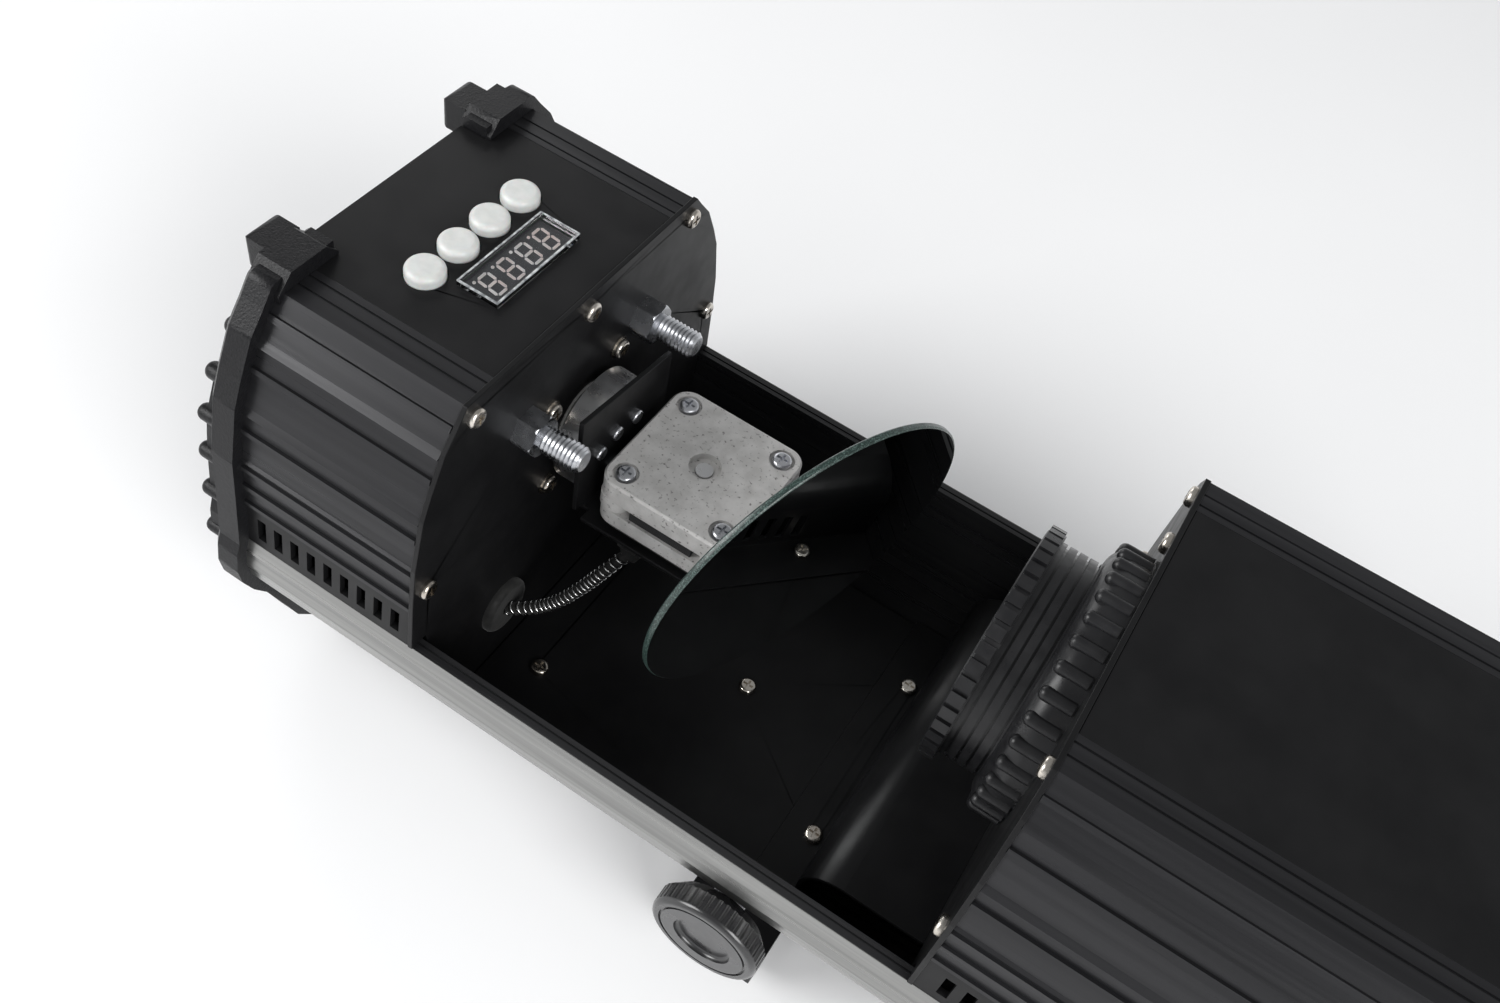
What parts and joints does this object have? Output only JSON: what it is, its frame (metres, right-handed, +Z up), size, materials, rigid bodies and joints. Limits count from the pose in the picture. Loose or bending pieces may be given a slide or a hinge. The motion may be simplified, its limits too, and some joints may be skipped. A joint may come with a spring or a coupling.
{
  "type": "scanner light",
  "caption": "Compact moving-mirror stage scanner: head with display and keys, mirror on two motors, focusing lens, ribbed lamp house, fan and tilting bracket.",
  "frame": {"origin": "middle of the footprint, on the surface that the rubber feet stand on", "axes": "+X from the mirror head towards the lamp house, +Z up, +Y to the left seen from the head"},
  "size_m": [0.434, 0.1668, 0.155],
  "materials": {
    "dark_anodised": "ribbed extrusion, dark grey anodised, satin",
    "black_sheet": "fine satin black powder coat on sheet steel",
    "polished_tray": "smooth dark gloss lacquer over a formed tray",
    "textured_black": "moulded black, fine leather-like texture",
    "gloss_black": "glossy black moulding",
    "white_button": "glossy off-white moulding",
    "clear_acrylic": "clear acrylic with bright cut edges",
    "display_face": "grey-black four digit display module",
    "nickel_screw": "nickel plated cross-head screws",
    "zinc_steel": "bright zinc plated steel",
    "cast_motor": "bead-blasted die cast aluminium",
    "turned_aluminium": "turned aluminium",
    "lamination": "dark stack of steel laminations",
    "mirror_silver": "front-silvered 3 mm glass, ground greenish edge",
    "lens_glass": "clear optical glass",
    "lens_black": "satin black moulded lens barrel",
    "black_rubber": "matte black rubber",
    "spring_sleeve": "bright steel spring sleeve over a black cable",
    "bare_aluminium": "mill finish aluminium sheet and extrusion",
    "circuit_board": "green solder mask",
    "filter_glass": "dichroic coloured glass",
    "black_plastic": "plain black moulding"
  },
  "bodies": {
    "chassis": {"base_tray": "polished_tray", "floor_plate": "black_sheet", "step_cover": "black_sheet", "rubber_feet": "black_rubber", "head_side_right": "dark_anodised", "head_side_left": "dark_anodised", "lamp_side_right": "dark_anodised", "lamp_side_left": "dark_anodised", "vent_grilles": "black_sheet", "head_top_panel": "black_sheet", "lamp_top_panel": "black_sheet", "head_bulkhead": "black_sheet", "lamp_bulkhead": "black_sheet", "head_end_cap": "textured_black", "lamp_end_cap": "textured_black", "pivot_studs": "zinc_steel", "housing_screws": "nickel_screw", "stop_studs": "zinc_steel", "cable_grommet": "black_rubber", "pan_motor": "cast_motor", "control_board": "circuit_board", "display_window": "clear_acrylic", "display_module": "display_face", "motor_cable": "spring_sleeve", "lens_collar": "lens_black", "optics_chassis": "bare_aluminium", "wheel_motor": "cast_motor", "condenser_lens": "lens_glass", "lamp_board": "circuit_board", "heat_sink": "bare_aluminium", "power_supply": "bare_aluminium", "fan_frame": "black_plastic", "dmx_sockets": "black_plastic", "power_entry": "black_plastic"},
    "pan_head": {"pan_hub": "turned_aluminium", "pan_bracket": "black_sheet", "pan_screws": "zinc_steel", "tilt_motor_rear_cap": "cast_motor", "tilt_motor_stator": "lamination", "tilt_motor_front_cap": "cast_motor", "tilt_motor_gasket": "black_rubber", "cable_boot": "black_rubber"},
    "tilt_head": {"tilt_shaft": "turned_aluminium", "mirror_arm": "black_sheet", "mirror_glass": "mirror_silver"},
    "focus_sleeve": {"lens_carrier": "turned_aluminium"},
    "focus_barrel": {"lens_barrel": "lens_black", "focus_ring": "lens_black", "front_lens": "lens_glass"},
    "button_1": {"button_1": "white_button"},
    "button_2": {"button_2": "white_button"},
    "button_3": {"button_3": "white_button"},
    "button_4": {"button_4": "white_button"},
    "mounting_bracket": {"yoke": "black_sheet"},
    "knob_right": {"knob_right": "gloss_black"},
    "knob_left": {"knob_left": "gloss_black"},
    "colour_wheel": {"colour_wheel": "bare_aluminium", "colour_filters": "filter_glass"},
    "fan_rotor": {"fan_rotor": "black_plastic"},
    "power_rocker": {"switch_rocker": "gloss_black"}
  },
  "joints": [
    {"name": "pan", "type": "hinge", "parent": "chassis", "child": "pan_head", "pos_m": [-0.137, 0, 0.103], "axis": [1, 0, 0], "range_deg": [-82, 2], "deforming": ["motor_cable"]},
    {"name": "tilt", "type": "hinge", "parent": "pan_head", "child": "tilt_head", "pos_m": [-0.097, 0.0016, 0.1], "axis": [0, 0, 1], "range_deg": [-24, 64]},
    {"name": "focus_travel", "type": "slide", "parent": "chassis", "child": "focus_sleeve", "axis": [1, 0, 0], "range_m": [-0.0021, 0.0021]},
    {"name": "focus_turn", "type": "hinge", "parent": "focus_sleeve", "child": "focus_barrel", "pos_m": [0.0188, 0, 0.111], "axis": [1, 0, 0], "range_deg": [-120, 120]},
    {"name": "press_button_1", "type": "slide", "parent": "chassis", "child": "button_1", "axis": [0, 0, -1], "range_m": [0, 0.0008], "stiffness_N_per_m": 700, "springref_m": -0.0008},
    {"name": "press_button_2", "type": "slide", "parent": "chassis", "child": "button_2", "axis": [0, 0, -1], "range_m": [0, 0.0008], "stiffness_N_per_m": 700, "springref_m": -0.0008},
    {"name": "press_button_3", "type": "slide", "parent": "chassis", "child": "button_3", "axis": [0, 0, -1], "range_m": [0, 0.0008], "stiffness_N_per_m": 700, "springref_m": -0.0008},
    {"name": "press_button_4", "type": "slide", "parent": "chassis", "child": "button_4", "axis": [0, 0, -1], "range_m": [0, 0.0008], "stiffness_N_per_m": 700, "springref_m": -0.0008},
    {"name": "bracket_swing", "type": "hinge", "parent": "chassis", "child": "mounting_bracket", "pos_m": [-0.032, 0, 0.042], "axis": [0, 1, 0], "range_deg": [-18, 18]},
    {"name": "turn_knob_right", "type": "hinge", "parent": "chassis", "child": "knob_right", "pos_m": [-0.032, -0.078, 0.042], "axis": [0, 1, 0], "range_deg": [-180, 180]},
    {"name": "turn_knob_left", "type": "hinge", "parent": "chassis", "child": "knob_left", "pos_m": [-0.032, 0.078, 0.042], "axis": [0, 1, 0], "range_deg": [-180, 180]},
    {"name": "wheel_spin", "type": "hinge", "parent": "chassis", "child": "colour_wheel", "pos_m": [0.0408, 0, 0.068], "axis": [1, 0, 0], "continuous": true},
    {"name": "fan_spin", "type": "hinge", "parent": "chassis", "child": "fan_rotor", "pos_m": [0.2, 0, 0.104], "axis": [1, 0, 0], "continuous": true},
    {"name": "power_switch", "type": "hinge", "parent": "chassis", "child": "power_rocker", "pos_m": [0.212, 0, 0.03], "axis": [0, 0, 1], "range_deg": [-12, 0]}
  ],
  "couplings": [
    {"joint": "focus_travel", "follows": "focus_turn", "m_per_rad": 0.000955}
  ]
}
